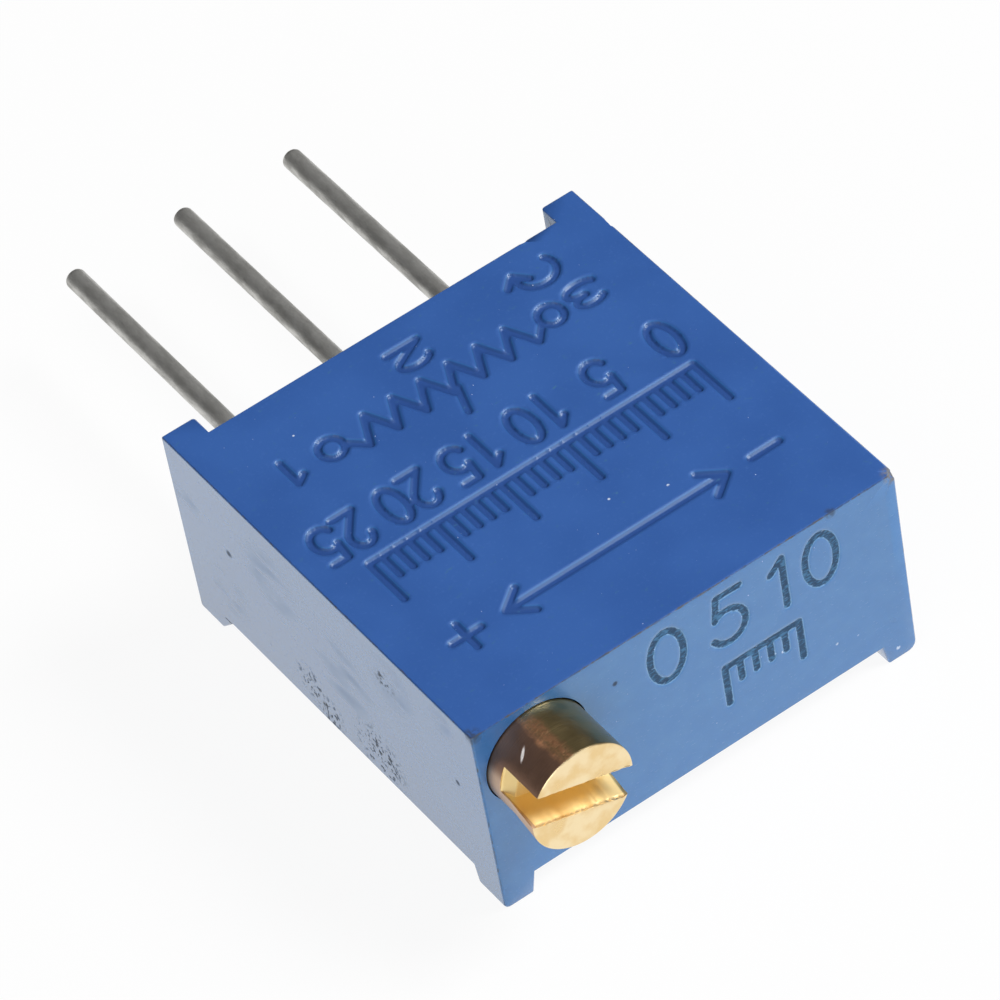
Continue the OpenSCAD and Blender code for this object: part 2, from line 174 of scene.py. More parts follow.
def growTree(piece, tree, values):
    step = piece.modifiers.new(tree.name, "NODES")
    step.node_group = tree
    for item in tree.interface.items_tree:
        if item.in_out == "INPUT" and item.name in values:
            step[item.identifier] = values[item.name]
    applyModifiers(piece)


def carve(piece, cutter):
    step = piece.modifiers.new("carve", "BOOLEAN")
    step.operation = "DIFFERENCE"
    step.solver = "MANIFOLD"
    step.object = cutter
    applyModifiers(piece)
    bpy.data.objects.remove(cutter)


def cadCopy(node):  # a CAD part as one merged mesh, in millimetres
    bm = bmesh.new()
    bm.from_mesh(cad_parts[node].data)
    bmesh.ops.scale(bm, vec=(1 / mm,) * 3, verts=bm.verts)
    bmesh.ops.remove_doubles(bm, verts=bm.verts, dist=0.0005)
    bmesh.ops.dissolve_limit(bm, angle_limit=radians(0.5), verts=bm.verts, edges=bm.edges)
    return bm


def cutOff(bm, y, way):  # takes away what lies past a plane across Y and closes the cut
    bmesh.ops.bisect_plane(bm, geom=[*bm.verts, *bm.edges, *bm.faces], plane_co=(0, y, 0),
                           plane_no=(0, way, 0), clear_outer=True)
    bmesh.ops.holes_fill(bm, edges=[e for e in bm.edges if e.is_boundary])


def finishPiece(piece, body, node, material, sharp=35):
    mesh = piece.data
    mesh.transform(Matrix.Scale(mm, 4))
    mesh.materials.clear()
    mesh.materials.append(material)
    if "custom_normal" in mesh.attributes:  # normals that came with the CAD mesh would hide the sharp edges
        mesh.attributes.remove(mesh.attributes["custom_normal"])
    mesh.shade_smooth()
    mesh.set_sharp_from_angle(angle=radians(sharp))
    step = piece.modifiers.new("normals", "WEIGHTED_NORMAL")
    step.keep_sharp = True
    applyModifiers(piece)
    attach(piece, body)
    if node:
        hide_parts(node)


print("tools ready")


def bow(cx, cy, rx, ry, start, end, count=16):  # a stroke along an ellipse
    angles = [radians(start + (end - start) * i / count) for i in range(count + 1)]
    return [(cx + rx * cos(a), cy + ry * sin(a)) for a in angles]


figureWidth = 0.6
figures = {  # strokes of plain figures, each in a box 0.6 wide and 1 high
    "0": [bow(0.3, 0.5, 0.3, 0.5, 90, 450, 32)],
    "1": [[(0.12, 0.78), (0.36, 1), (0.36, 0)]],
    "2": [bow(0.29, 0.71, 0.28, 0.29, 170, -35, 16) + [(0.0, 0), (0.6, 0)]],
    "3": [bow(0.28, 0.75, 0.26, 0.25, 150, -85, 14), bow(0.28, 0.26, 0.31, 0.26, 88, -150, 16)],
    "5": [[(0.55, 1), (0.12, 1), (0.06, 0.56)] + bow(0.27, 0.33, 0.32, 0.33, 130, -150, 18)],
}


def writeNumber(text, middle, foot, width, height, gap=0.14):
    span = len(text) * width + (len(text) - 1) * gap
    starts = [middle - span / 2 + i * (width + gap) for i in range(len(text))]
    return [[(start + px / figureWidth * width, foot + py * height) for px, py in path]
            for start, sign in zip(starts, text) for path in figures[sign]]


def turnScale(left, right, foot, long, short, turns, step):
    marks = [[(left, foot), (right, foot)]]
    for i in range(turns + 1):
        u = left + (right - left) * i / turns
        marks.append([(u, foot), (u, foot + (short if i % step else long))])
    return marks


def resistorSign():  # the three numbered ends, the resistance and its wiper
    crest, trough, first, pitch, bends = 0.76, 0.04, -1.94, 0.3235, 13
    zigzag = [(first + i * pitch, trough if i % 2 else crest) for i in range(bends)]
    marks = [[(-2.26, 0.4)] + zigzag + [(2.28, 0.4)]]
    marks += [bow(x, 0.34, 0.25, 0.27, 0, 360, 24) for x in (-2.5, 2.55)] + [[(-0.11, 0.66), (0.1, 1.32)]]
    marks += writeNumber("3", -3.3, 0.02, 0.66, 0.62) + writeNumber("1", 3.45, 0, 0.5, 0.66)
    marks += writeNumber("2", 0.1, -0.9, 0.7, 0.6)
    marks += [bow(-2.95, -0.78, 0.42, 0.38, 215, -10, 20), [(-2.77, -0.72), (-2.54, -1.0), (-2.29, -0.75)]]
    return marks


scaleEnd, allTurns, numbered = 3.7, 25, 5
topMarks = resistorSign() + turnScale(-scaleEnd, scaleEnd, 3.2, 1.15, 0.6, allTurns, numbered)
for turn in range(0, allTurns + 1, numbered):
    topMarks += writeNumber(str(turn), -scaleEnd + 2 * scaleEnd * turn / allTurns, 1.85, 0.46, 0.95)
low, level, high = 5.5, 5.85, 6.2  # a double arrow between minus and plus
topMarks += [[(-2.5, level), (2.5, level)], [(-2.05, high), (-2.5, level), (-2.05, low)],
             [(2.05, high), (2.5, level), (2.05, low)], [(-scaleEnd, level), (-3.05, level)],
             [(3.05, level), (scaleEnd, level)], [(3.375, high), (3.375, low)]]
frontMarks = writeNumber("0", -0.55, 3.15, 0.74, 1.25) + writeNumber("5", 0.85, 3.15, 0.74, 1.25)
frontMarks += writeNumber("10", 2.5, 3.15, 0.7, 1.25, 0.2) + turnScale(0.6, 2.3, 2.55, -0.95, -0.5, 5, 5)


housingSizes = {
    "cornerZone": 0.08, "edgeRound": 0.04, "footTipRound": 0.13, "wornFootRound": 0.2,
    "footHeight": 0.5, "railWidth": 0.75, "railReach": 0.5, "railInnerRound": 0.13,
    "footReach": 0.95, "touch": 0.01, "square": 0.99,
    "pressed": {"halfWidth": 0.074, "wall": 0.046, "depth": 0.062},
    "burnt": {"halfWidth": 0.078, "wall": 0.045, "depth": 0.015},
    "rowOffsets": (0, 0.028, 0.043, 0.058, 0.074, 0.1, 0.16), "along": 0.05, "coarse": 0.5, "cell": 0.022,
    "apart": 0.02, "fieldApart": 0.2, "fromRim": 0.03,
}
hs = housingSizes
housingLow, housingHigh = cornersOf("housing")
sideX, frontY, railY, topZ = housingHigh.x, housingLow.y, housingHigh.y, housingHigh.z
endY = railY - hs["railReach"]
screwLow, screwHigh = cornersOf("adjustment_screw")
headR = (screwHigh.x - screwLow.x) / 2
screwAxis = Vector(((screwLow.x + screwHigh.x) / 2, 0, (screwLow.z + screwHigh.z) / 2))


def squareCorners(bm):  # the upright corners become plain edges, ready for one bevel
    for v in bm.verts:
        if abs(v.co.x) < sideX - hs["cornerZone"] - 0.001:
            continue
        x = copysign(sideX, v.co.x)
        if v.co.y < frontY + hs["cornerZone"] + 0.001:
            v.co.x, v.co.y = x, frontY
        if v.co.y > railY - hs["cornerZone"] - 0.001:
            v.co.x, v.co.y = x, railY
    bmesh.ops.remove_doubles(bm, verts=bm.verts, dist=0.001)
    bmesh.ops.dissolve_limit(bm, angle_limit=radians(0.5), verts=bm.verts, edges=bm.edges)


def onSkin(face):
    n, c = face.normal, face.calc_center_median()
    touch, square, foot = hs["touch"], hs["square"], hs["footHeight"]
    if abs(n.x) > square and abs(c.x) > sideX - touch or n.z > square and c.z > topZ - touch:
        return True
    if n.y < -square and c.y < frontY + touch or n.y > square and c.y > endY - touch:
        return True
    if n.z < -square and c.z < foot + touch:
        return True
    if abs(n.y) < touch and n.z < -0.05 and c.z < hs["wornFootRound"]:
        return True  # rounded tips of the feet
    inner = sideX - abs(c.x) < hs["railWidth"] + 0.06
    if inner and c.z < foot and min(v.co.z for v in face.verts) < touch:
        return True  # inner sides of the feet
    return inner and abs(n.x) > square and c.y > endY  # inner sides of the rails


def roundEdges(piece, onlyTips):  # the feet's outer tips are rounded first, then every other outer edge
    bm = bmesh.new()
    bm.from_mesh(piece.data)
    layers = bm.edges.layers.float
    weight = layers.get("bevel_weight_edge") or layers.new("bevel_weight_edge")
    widest, nearSide = hs["wornFootRound"], sideX - hs["touch"]
    for edge in bm.edges:
        edge[weight] = 0
        if len(edge.link_faces) != 2 or edge.calc_face_angle_signed(0) < radians(20):
            continue
        if not all(onSkin(f) for f in edge.link_faces):
            continue
        a, b = [v.co for v in edge.verts]
        outer = abs(a.x) > nearSide and abs(b.x) > nearSide
        tip = outer and max(a.z, b.z) < hs["touch"]
        size = hs["edgeRound"]
        if tip:
            size = widest if a.x > 0 and a.y < 0 else hs["footTipRound"]
        elif abs(a.z - b.z) > 1 and not outer:
            size = hs["railInnerRound"]
        if tip == onlyTips:
            edge[weight] = size / widest
    bm.to_mesh(piece.data)
    bm.free()
    step = piece.modifiers.new("rounds", "BEVEL")
    step.limit_method = "WEIGHT"
    step.width = widest
    step.segments = 5 if onlyTips else 3
    step.use_clamp_overlap = False
    applyModifiers(piece)


def chipCutter(spots):  # rough blobs that knock pieces off the edges
    whole = bmesh.new()
    for centre, size, seed in spots:
        blob = bmesh.ops.create_icosphere(whole, subdivisions=3, radius=1)["verts"]
        for v in blob:
            rough = 1 + 0.16 * noise.noise(v.co * 2.2 + Vector((seed, 0, 0))) + 0.05 * noise.noise(v.co * 7)
            v.co = Vector(centre) + Vector([v.co[i] * size[i] * rough for i in range(3)])
    return benchPiece("chips", whole)


def farFrom(points, paths):  # distance of each point to the nearest stroke
    best = np.full(len(points), 1e9)
    for path in paths:
        for a, b in zip(path, path[1:]):
            a, b = np.array(a), np.array(b)
            along = np.clip(((points - a) @ (b - a)) / max(((b - a) ** 2).sum(), 1e-12), 0, 1)
            best = np.minimum(best, np.hypot(*(points - a - along[:, None] * (b - a)).T))
    return best


def pointsBeside(paths, low, high):  # rows of points on and beside the strokes, and a coarse field between
    found, wanted = [], []
    for path in paths:
        for (u0, v0), (u1, v1) in zip(path, path[1:]):
            length = hypot(u1 - u0, v1 - v0)
            n = max(1, round(length / hs["along"]))
            nu, nv = (v0 - v1) / length, (u1 - u0) / length
            for i in range(n + 1):
                u, v = u0 + (u1 - u0) * i / n, v0 + (v1 - v0) * i / n
                for off in hs["rowOffsets"]:
                    found += [(u + nu * off, v + nv * off), (u - nu * off, v - nv * off)]
                    wanted += [off, off]
        for u, v in path:
            for off in hs["rowOffsets"][1:]:
                count = max(6, round(2 * pi * off / hs["along"]))
                turns = [2 * pi * i / count for i in range(count)]
                found += [(u + off * cos(turn), v + off * sin(turn)) for turn in turns]
                wanted += [off] * count
    step = hs["coarse"]
    us, vs = np.arange(low[0] + step / 2, high[0], step), np.arange(low[1] + step / 2, high[1], step)
    field = [(u, v) for u in us for v in vs]
    found, wanted = np.array(found + field), np.array(wanted + [hs["fieldApart"]] * len(field))
    kept, taken, cell = [], {}, hs["cell"]
    for (u, v), ok in zip(found, farFrom(found, paths) > wanted - 0.006):
        i, j = round(u / cell), round(v / cell)
        around = [taken[a, b] for a in (i - 1, i, i + 1) for b in (j - 1, j, j + 1) if (a, b) in taken]
        if ok and not any(dist(near, (u, v)) < hs["apart"] for near in around):
            taken[i, j] = (u, v)
            kept.append((float(u), float(v)))
    return kept


def retile(bm, picked, flat, solid, points):  # swaps a flat face for small tiles through the given points
    normal, inside = picked[0].normal.copy(), set(picked)
    edges = dict.fromkeys(e for f in picked for e in f.edges)  # in a fixed order, so that all runs agree
    rim = [e for e in edges if sum(f in inside for f in e.link_faces) == 1]
    rimVerts = list(dict.fromkeys(v for e in rim for v in e.verts))
    order = {v: i for i, v in enumerate(rimVerts)}
    corners = [Vector(flat(v.co)) for v in rimVerts]
    sides = [(order[e.verts[0]], order[e.verts[1]]) for e in rim]
    outline = [(corners[a], corners[b]) for a, b in sides]
    clear = farFrom(np.array(points), [[tuple(a), tuple(b)] for a, b in outline]) > hs["fromRim"]
    points = [Vector(p) for p, ok in zip(points, clear) if ok]
    bmesh.ops.delete(bm, geom=picked, context="FACES_KEEP_BOUNDARY")
    spots, _, tiles, origins, _, _ = geometry.delaunay_2d_cdt(corners + points, sides, [], 0, 1e-6)
    used = [next((rimVerts[o] for o in origin if o < len(rimVerts)), None) or bm.verts.new(solid(spot))
            for spot, origin in zip(spots, origins)]
    starts = np.array([tuple(a) for a, b in outline])
    ends = np.array([tuple(b) for a, b in outline])
    for tile in tiles:
        c = sum((spots[i] for i in tile), Vector((0, 0))) / len(tile)
        spans = (starts[:, 1] > c.y) != (ends[:, 1] > c.y)
        with np.errstate(divide="ignore", invalid="ignore"):
            share = (c.y - starts[:, 1]) / (ends[:, 1] - starts[:, 1])
            cross = starts[:, 0] + share * (ends[:, 0] - starts[:, 0])
        if (spans & (cross > c.x)).sum() % 2:
            face = bm.faces.new([used[i] for i in tile])
            face.normal_update()
            if face.normal.dot(normal) < 0:
                face.normal_flip()
    loose = [v for v in bm.verts if not v.link_faces]
    bmesh.ops.delete(bm, geom=loose, context="VERTS")


def strokeWires(name, paths, solid):
    bm = bmesh.new()
    for path in paths:
        verts = [bm.verts.new(solid(p)) for p in path]
        for a, b in zip(verts, verts[1:]):
            bm.edges.new((a, b))
    return benchPiece(name, bm)


def pressTree():  # sinks the surface along strokes and remembers how deep each point went
    known = newTree("pressStrokes", {
        "strokes": "Object", "halfWidth": "Float", "wall": "Float", "depth": "Float", "direction": "Vector",
        "mark": "String"})
    addNodes(known, (
        ("wires", "GeometryNodeObjectInfo", {"Object": "strokes"}),
        ("near", "GeometryNodeProximity", {"target_element": "EDGES", "Geometry": "wires.Geometry"}),
        ("inner", "multiply_add", "wall", -0.5, "halfWidth"),
        ("outer", "multiply_add", "wall", 0.5, "halfWidth"),
        ("share", "smooth", "near.Distance", "inner", "outer", 1.0, 0.0),
        ("sink", "multiply", "share", "depth"),
        ("shift", "vector scale", "direction", {"Scale": "sink"}),
        ("kept", "GeometryNodeStoreNamedAttribute", {
            "data_type": "FLOAT", "domain": "POINT", "Geometry": "Geometry", "Name": "mark",
            "Value": "share"}),
        ("moved", "GeometryNodeSetPosition", {"Geometry": "kept", "Offset": "shift"}),
    ))
    return endTree(known, "moved")


def makeHousing(material):
    bm = cadCopy("housing")
    squareCorners(bm)
    piece = benchPiece("housingMoulding", bm)
    roundEdges(piece, True)
    roundEdges(piece, False)
    carve(piece, chipCutter([  # centre, size and seed of each chip
        ((sideX + 0.13, frontY - 0.13, topZ + 0.13), (0.36, 0.36, 0.36), 3),
        ((sideX + 0.42, railY - 1.2, topZ - 0.1), (0.47, 0.42, 0.8), 5),
        ((3.3, endY + 0.16, topZ + 0.04), (0.3, 0.2, 0.2), 8),
    ]))
    onTop = lambda p: (-p[0], -p[1], topZ)  # figures on top read from the screw's end
    onFront = lambda p: (p[0], frontY, p[1])
    bm = bmesh.new()
    bm.from_mesh(piece.data)
    flat, near = 0.999, 0.003
    top = [f for f in bm.faces if f.normal.z > flat and f.calc_center_median().z > topZ - near]
    points = pointsBeside(topMarks, (-sideX, -railY), (sideX, -frontY))
    retile(bm, top, lambda co: (-co.x, -co.y), onTop, points)
    front = [f for f in bm.faces if f.normal.y < -flat and f.calc_center_median().y < frontY + near]
    points = pointsBeside(frontMarks, (-sideX, 0), (sideX, topZ))
    retile(bm, front, lambda co: (co.x, co.z), onFront, points)
    bm.to_mesh(piece.data)
    bm.free()
    tree = pressTree()
    for mark, marks, solid, way in (("pressed", topMarks, onTop, (0, 0, -1)),
                                    ("burnt", frontMarks, onFront, (0, 1, 0))):
        wires = strokeWires(mark + "Wires", marks, solid)
        growTree(piece, tree, {
            **hs[mark], "strokes": wires, "direction": way, "mark": mark, "material": material})
        bpy.data.objects.remove(wires)
    finishPiece(piece, "housing", "housing", material, sharp=75)
    print("housing:", len(piece.data.polygons), "faces")
    return piece


surfaceMarks = [  # place, radius, kind of mark
    ((-sideX, 1.65, 3.38), 0.55, "smear"), ((-sideX, 0.32, 2.95), 0.12, "dot"),
    ((-sideX, -1.97, 1.25), 0.6, "specks"), ((-sideX, -2.5, 0.85), 0.6, "specks"),
    ((-sideX, -3.3, 2.6), 1.3, "smear"), ((-sideX, -4.2, 1.1), 1.0, "specks"),
    ((-sideX, -5.2, 3.9), 0.9, "smear"), ((-sideX, -1.2, 3.4), 1.1, "smear"),
    ((-sideX, 0.6, 1.6), 0.8, "smear"), ((-sideX, -7.08, 2.83), 0.09, "dot"),
    ((-sideX, -6.9, 4.3), 0.45, "smear"), ((-sideX, -5.0, 3.8), 0.4, "specks"),
    ((-1.7, frontY, 3.9), 0.08, "dot"), ((4.3, frontY, 1.0), 0.16, "smear"),
    ((3.3, frontY, 4.74), 0.16, "darkPatch"), ((1.87, frontY, 2.05), 0.045, "lint"),
    ((1.69, frontY, 2.12), 0.04, "lint"), ((3.04, frontY, 1.38), 0.04, "lint"),
    ((3.51, frontY, 1.27), 0.04, "lint"), ((4.35, frontY, 0.28), 0.06, "lint"),
    ((1.52, -5.37, topZ), 0.04, "lint"), ((0.51, -4.91, topZ), 0.035, "lint"),
    ((1.94, -3.36, topZ), 0.035, "lint"), ((-2.9, 0.4, topZ), 0.03, "lint"),
    ((4.72, -7.9, 4.72), 0.26, "chip"), ((4.02, 1.84, 4.62), 0.16, "scuff"),
    # a dark patch at the top left front corner, beside the screw head
    ((-4.7, -7.87, 4.74), 0.24, "darkPatch"),
]
markLooks = {  # colour, pattern, where the pattern starts and ends, strength
    "smear": ("#3B5F90", "streak", 0.4, 0.75, 0.34), "specks": ("#1B2433", "rag", 0.54, 0.6, 0.95),
    "dot": ("#1F2A40", "rag", 0.2, 0.45, 0.9), "chip": ("#77716B", "rag", 0.3, 0.55, 0.9),
    "scuff": ("#A8AEBB", "rag", 0.35, 0.6, 0.7), "darkPatch": ("#2B303D", "rag", 0.3, 0.6, 0.7),
    "lint": ("#D5E0F2", "rag", 0.38, 0.5, 0.9),
}
patterns = {  # size in mm, detail, shift
    "grain": (0.06, 3, 0), "blotch": (1.8, 2, 3.1), "rag": (0.09, 4, 5.7), "patch": (0.45, 3, 9.2),
}
streakScale = (2.0, 0.9, 3.2)  # smears on the sides run along the row of leads


def mouldedPolyester():  # glass-filled polyester: even blue, faint grain, edges rubbed grey and brown
    known = newMaterial("mouldedPolyester", 0.38, 0, 1.6)
    known["shader"].inputs["Coat Roughness"].default_value = 0.22  # the resin-rich skin of a moulding
    known["shader"].inputs["Specular Tint"].default_value = srgb("#DDF4FF")
    for name, (size, detail, shift) in patterns.items():
        addNodes(known, (
            ("moved", "mapping", {"Location": (shift, shift * 0.7, -shift)}),
            (name, "noise", {"Scale": 1 / size, "Detail": detail, "Vector": "moved"}),
        ))
    addNodes(known, (
        ("moved", "mapping", {"Scale": streakScale, "Rotation": (0.5, 0, 0)}),
        ("streak", "noise", {"Scale": 1.0, "Detail": 5, "Vector": "moved"}),
        ("surface", "ShaderNodeNewGeometry"),
        ("facing", "split", "surface.True Normal"),
        ("burntShare", "ShaderNodeAttribute", {"attribute_name": "burnt"}),
        ("pressedShare", "ShaderNodeAttribute", {"attribute_name": "pressed"}),
        ("parts", "split", "at"),
    ))
    addNodes(known, (  # distance to the nearest outer edge: the middle one of those to three faces
        ("wide", "absolute", "parts.X"),
        ("side", "subtract", sideX, "wide"),
        ("onRail", "less_than", "side", hs["railWidth"] + 0.05),
        ("farEnd", "multiply_add", "onRail", hs["railReach"], endY),
        ("back", "subtract", "farEnd", "parts.Y"),
        ("front", "subtract", "parts.Y", frontY),
        ("ends", "minimum", "back", "front"),
        ("atEnds", "less_than", "ends", hs["footReach"]),
        ("onFoot", "multiply", "onRail", "atEnds"),
        ("underside", "multiply_add", "onFoot", -hs["footHeight"], hs["footHeight"]),
        ("above", "subtract", "parts.Z", "underside"),
        ("over", "absolute", "above"),
        ("under", "subtract", topZ, "parts.Z"),
        ("tall", "minimum", "over", "under"),
        ("nearest", "minimum", "side", "ends"),
        ("farther", "maximum", "side", "ends"),
        ("second", "minimum", "farther", "tall"),
        ("edge", "maximum", "nearest", "second"),
    ))
    addNodes(known, (
        ("face", "smooth", "facing.Z", 0.3, 0.9),  # the marked face; the sides are greener
        ("aside", "subtract", 0.85, "face", {"use_clamp": True}),
        ("cloud", "smooth", "blotch", 0.3, 0.7),
        ("blue", "mix", "cloud", "#2D59A2", "#3360AA"),
        ("mottle", "smooth", "streak", 0.35, 0.7, {4: 0.3}),
        ("mottle", "multiply", "mottle", "aside"),
        ("paleGrain", "smooth", "grain", 0.55, 0.8, {4: 0.14}),
        # painted shade: the walls of the pressed figures are darkened, their floors a little less
        ("sunk", "smooth", "pressedShare.Fac", 0.1, 0.5, {4: 0.66}),
        ("lifted", "smooth", "pressedShare.Fac", 0.85, 1.0, {4: 0.12}),
        ("sunk", "subtract", "sunk", "lifted", {"use_clamp": True}),
        ("ragged", "multiply_add", "rag", 0.08, "edge"),
        ("rubbed", "smooth", "ragged", 0.07, 0.04),
        ("uneven", "smooth", "patch", 0.3, 0.6, 0.3, 0.9),
        ("worn", "multiply", "rubbed", "uneven"),
        ("rust", "smooth", "patch", 0.42, 0.62),
        ("bare", "mix", "rust", "#2F3643", "#575148"),
    ))
    layers = {"aside": "#1B6CAB", "mottle": "#3F7DB4", "paleGrain": "#5C84CC", "sunk": "#1B3B7C",
              "worn": "bare"}
    for share, hue in layers.items():
        addNode(known, "blue", "mix", share, "blue", hue)
    known["dull"] = known["worn"]
    for place, radius, kind in surfaceMarks:
        hue, pattern, start, end, strength = markLooks[kind]
        addNodes(known, (
            ("far", "vector distance", "at", place),
            ("inside", "smooth", "far", radius, radius * 0.35, {4: strength}),
            ("shape", "smooth", pattern, start, end),
            ("share", "multiply", "inside", "shape"),
            ("blue", "mix", "share", "blue", hue),
            ("dull", "maximum", "dull", "share"),
        ))
    addNodes(known, (  # the laser leaves ragged dark teal strokes with a thin pale border, partly bleached by the laser and partly a painted highlight on the rims of the marks
        ("halo", "smooth", "burntShare.Fac", 0.0, 0.3, {4: 0.5}),
        ("blue", "mix", "halo", "blue", "#7FB0D8"),
        ("hatched", "mapping", {"Scale": (0.5, 1, 1.7)}),
        ("pulses", "noise", {"Scale": 16.0, "Detail": 3, "Vector": "hatched"}),
        ("tornBurn", "multiply_add", "pulses", 2.2, "burntShare.Fac"),
        ("burn", "smooth", "tornBurn", 1.4, 1.85),
        ("pulse", "smooth", "pulses", 0.46, 0.66),
        ("char", "mix", "pulse", "#023257", "#3C7099"),
        ("blue", "mix", "burn", "blue", "char"),
        ("dull", "maximum", "dull", "burn"),
    ))
    addNodes(known, (  # the marked face and its figures are the mattest, the sides keep a shiny skin
        ("figures", "range", "pressedShare.Fac", 0.0, 0.04),
        ("face", "maximum", "face", "figures"),
        ("matte", "range", "face", {3: 0.24, 4: 0.46}),
        ("matte", "multiply_add", "dull", 0.35, "matte"),
        ("matte", "multiply_add", "grain", 0.04, "matte"),
        ("bareSkin", "multiply", "face", 0.8),
        ("bareSkin", "maximum", "bareSkin", "dull"),
        ("skin", "subtract", 1.0, "bareSkin", {"use_clamp": True}),
        ("height", "multiply_add", "rag", 0.5, "grain"),
        ("relief", "bump", {"Strength": 1.0, "Distance": 0.0004 * mm, "Height": "height"}),
    ))
    return feedShader(known, {
        "Base Color": "blue", "Roughness": "matte", "Coat Weight": "skin", "Normal": "relief"})


housingPiece = makeHousing(mouldedPolyester())


dustSizes = {"density": 0.8, "smallest": 0.004, "largest": 0.014, "seed": 11}  # millimetres


def dustTree():  # fine white dust caught on the housing
    known = newTree("dustSpecks", {
        "density": "Float", "smallest": "Float", "largest": "Float", "seed": "Int"})
    addNodes(known, (
        ("place", "GeometryNodeInputPosition"),
        ("parts", "split", "place"),
        ("onTop", "greater_than", "parts.Z", topZ - 0.1),
        ("onFront", "less_than", "parts.Y", frontY + 0.03),
        ("either", "maximum", "onTop", "onFront"),
        ("points", "GeometryNodeDistributePointsOnFaces", {
            "distribute_method": "RANDOM", "Mesh": "Geometry", "Selection": "either", "Density": "density",
            "Seed": "seed"}),
        ("ball", "GeometryNodeMeshIcoSphere", {"Radius": 1.0, "Subdivisions": 2}),
        ("chance", "FunctionNodeRandomValue", {"data_type": "FLOAT", "Seed": "seed"}),
        ("skewed", "power", "chance", 3.0),  # small specks are the most common
        ("size", "range", "skewed", {3: "smallest", 4: "largest"}),
        ("stretch", "FunctionNodeRandomValue", {"data_type": "FLOAT", 2: 0.7, 3: 1.3, "Seed": 4}),
        ("shape", "join", "stretch", 1.0, 0.5),
        ("scaled", "vector scale", "shape", {"Scale": "size"}),
        ("specks", "GeometryNodeInstanceOnPoints", {
            "Points": "points.Points", "Instance": "ball", "Rotation": "points.Rotation", "Scale": "scaled"}),
    ))
    return endTree(known, "specks")


def paleDust():  # lint and mineral dust: dull, off-white
    known = newMaterial("paleDust", 0.9)
    addNodes(known, (
        ("tint", "noise", {"Scale": 8.0}),
        ("colour", "mix", "tint", "#7F9BD2", "#C6D3EE"),
    ))
    return feedShader(known, {"Base Color": "colour"})


def makeDust(material):
    piece = benchPiece("dustSpecks", None)
    piece.data = housingPiece.data.copy()
    piece.data.transform(Matrix.Scale(1 / mm, 4))
    growTree(piece, dustTree(), {**dustSizes, "material": material})
    finishPiece(piece, "housing", None, material)
    print("dust:", len(piece.data.polygons), "faces")


makeDust(paleDust())


screwSizes = {
    "chamfer": 0.035, "slotWidth": 0.56, "slotDepth": 0.76, "slotTilt": 17.6, "seam": 0.1, "sides": 160,
    "stations": 90, "lipRoughness": 0.012, "endRoughness": 0.05, "lipTop": 0.02, "lipFoot": 0.07,
    "spread": 0.12, "runOut": 0.26, "burrHeight": 0.008, "burrSteps": 80, "faceInset": 0.02,
    # where the painted glint sits on the flank
    "paintedGlintSpot": (-4.13, -8.55, 4.38),
}
ss = screwSizes


def lathe(profile, count):  # profile of (radius, along), turned about Y
    bm = bmesh.new()
    turns = [2 * pi * i / count for i in range(count)]
    rings = [[bm.verts.new((radius * cos(turn), along, radius * sin(turn)))
              for turn in (turns if radius else turns[:1])] for radius, along in profile]
    for a, b in zip(rings, rings[1:]):
        for i in range(count):
            j = (i + 1) % count
            bm.faces.new(list(dict.fromkeys([a[i % len(a)], a[j % len(a)], b[j % len(b)], b[i % len(b)]])))
    bmesh.ops.recalc_face_normals(bm, faces=bm.faces)
    return bm


def joinRows(bm, rows):  # faces from row to row, and a cap at either end
    for a, b in zip(rows, rows[1:]):
        for k in range(len(a)):
            m = (k + 1) % len(a)
            bm.faces.new((a[k], a[m], b[m], b[k]))
    bm.faces.new(rows[0])
    bm.faces.new(rows[-1])


def slotCutter(faceY):  # a sawn slot: lips torn where the saw came out, floor falling where it went in
    bm = bmesh.new()
    stations, reach, half, depth = ss["stations"], headR * 1.15, ss["slotWidth"] / 2, ss["slotDepth"]
    above, lipTop, lipFoot, bulge = -0.2, ss["lipTop"], ss["lipFoot"], -0.01
    rows = []
    for i in range(stations + 1):
        x = -reach + 2 * reach * i / stations
        late = max(0, (x / headR - 0.45) / 0.55) ** 1.5
        deep = depth + ss["runOut"] * min(1, max(0, (-x / headR - 0.84) / 0.12))
        tear = ss["lipRoughness"] + ss["endRoughness"] * late
        lower = half + max(tear * (0.35 + bumps(x * 9, 0, 1.7)) * 1.4, bulge)
        upper = half + max(tear * (0.25 + bumps(x * 9, 4, 7.7)) * 0.9, bulge)
        profile = [(-lower, above), (-lower, lipTop), (-half, lipFoot), (-half, deep),
                   (half, deep), (half, lipFoot), (upper, lipTop), (upper, above)]
        rows.append([bm.verts.new((x, faceY + y, z)) for z, y in profile])
    joinRows(bm, rows)
    bmesh.ops.recalc_face_normals(bm, faces=bm.faces)
    return bm


def slotBurr(faceY):  # thin ragged ridges of metal thrown up along the lips
    bm = bmesh.new()
    steps, foot = ss["burrSteps"], faceY + ss["lipTop"]
    for side, start, end in ((-1, -0.75, 0.86), (1, 0.3, 0.9)):
        lip = side * (ss["slotWidth"] / 2 + 0.02)
        rows = []
        for i in range(steps + 1):
            x = headR * (start + (end - start) * i / steps)
            torn = bumps(x * 7, side, 2.1) + 0.1 + 0.7 * max(0, x / headR - 0.4)
            lift = ss["burrHeight"] * max(0, torn)
            lean = side * 0.02 * bumps(x * 12, side, 5)
            out = lip + side * (0.05 + 0.02 * bumps(x * 10, 3, side))
            ridge = (x, foot, lip), (x, faceY - lift, lip + lean), (x, foot, out)
            rows.append([bm.verts.new(co) for co in ridge])
        joinRows(bm, rows)
    bmesh.ops.recalc_face_normals(bm, faces=bm.faces)
    return bm


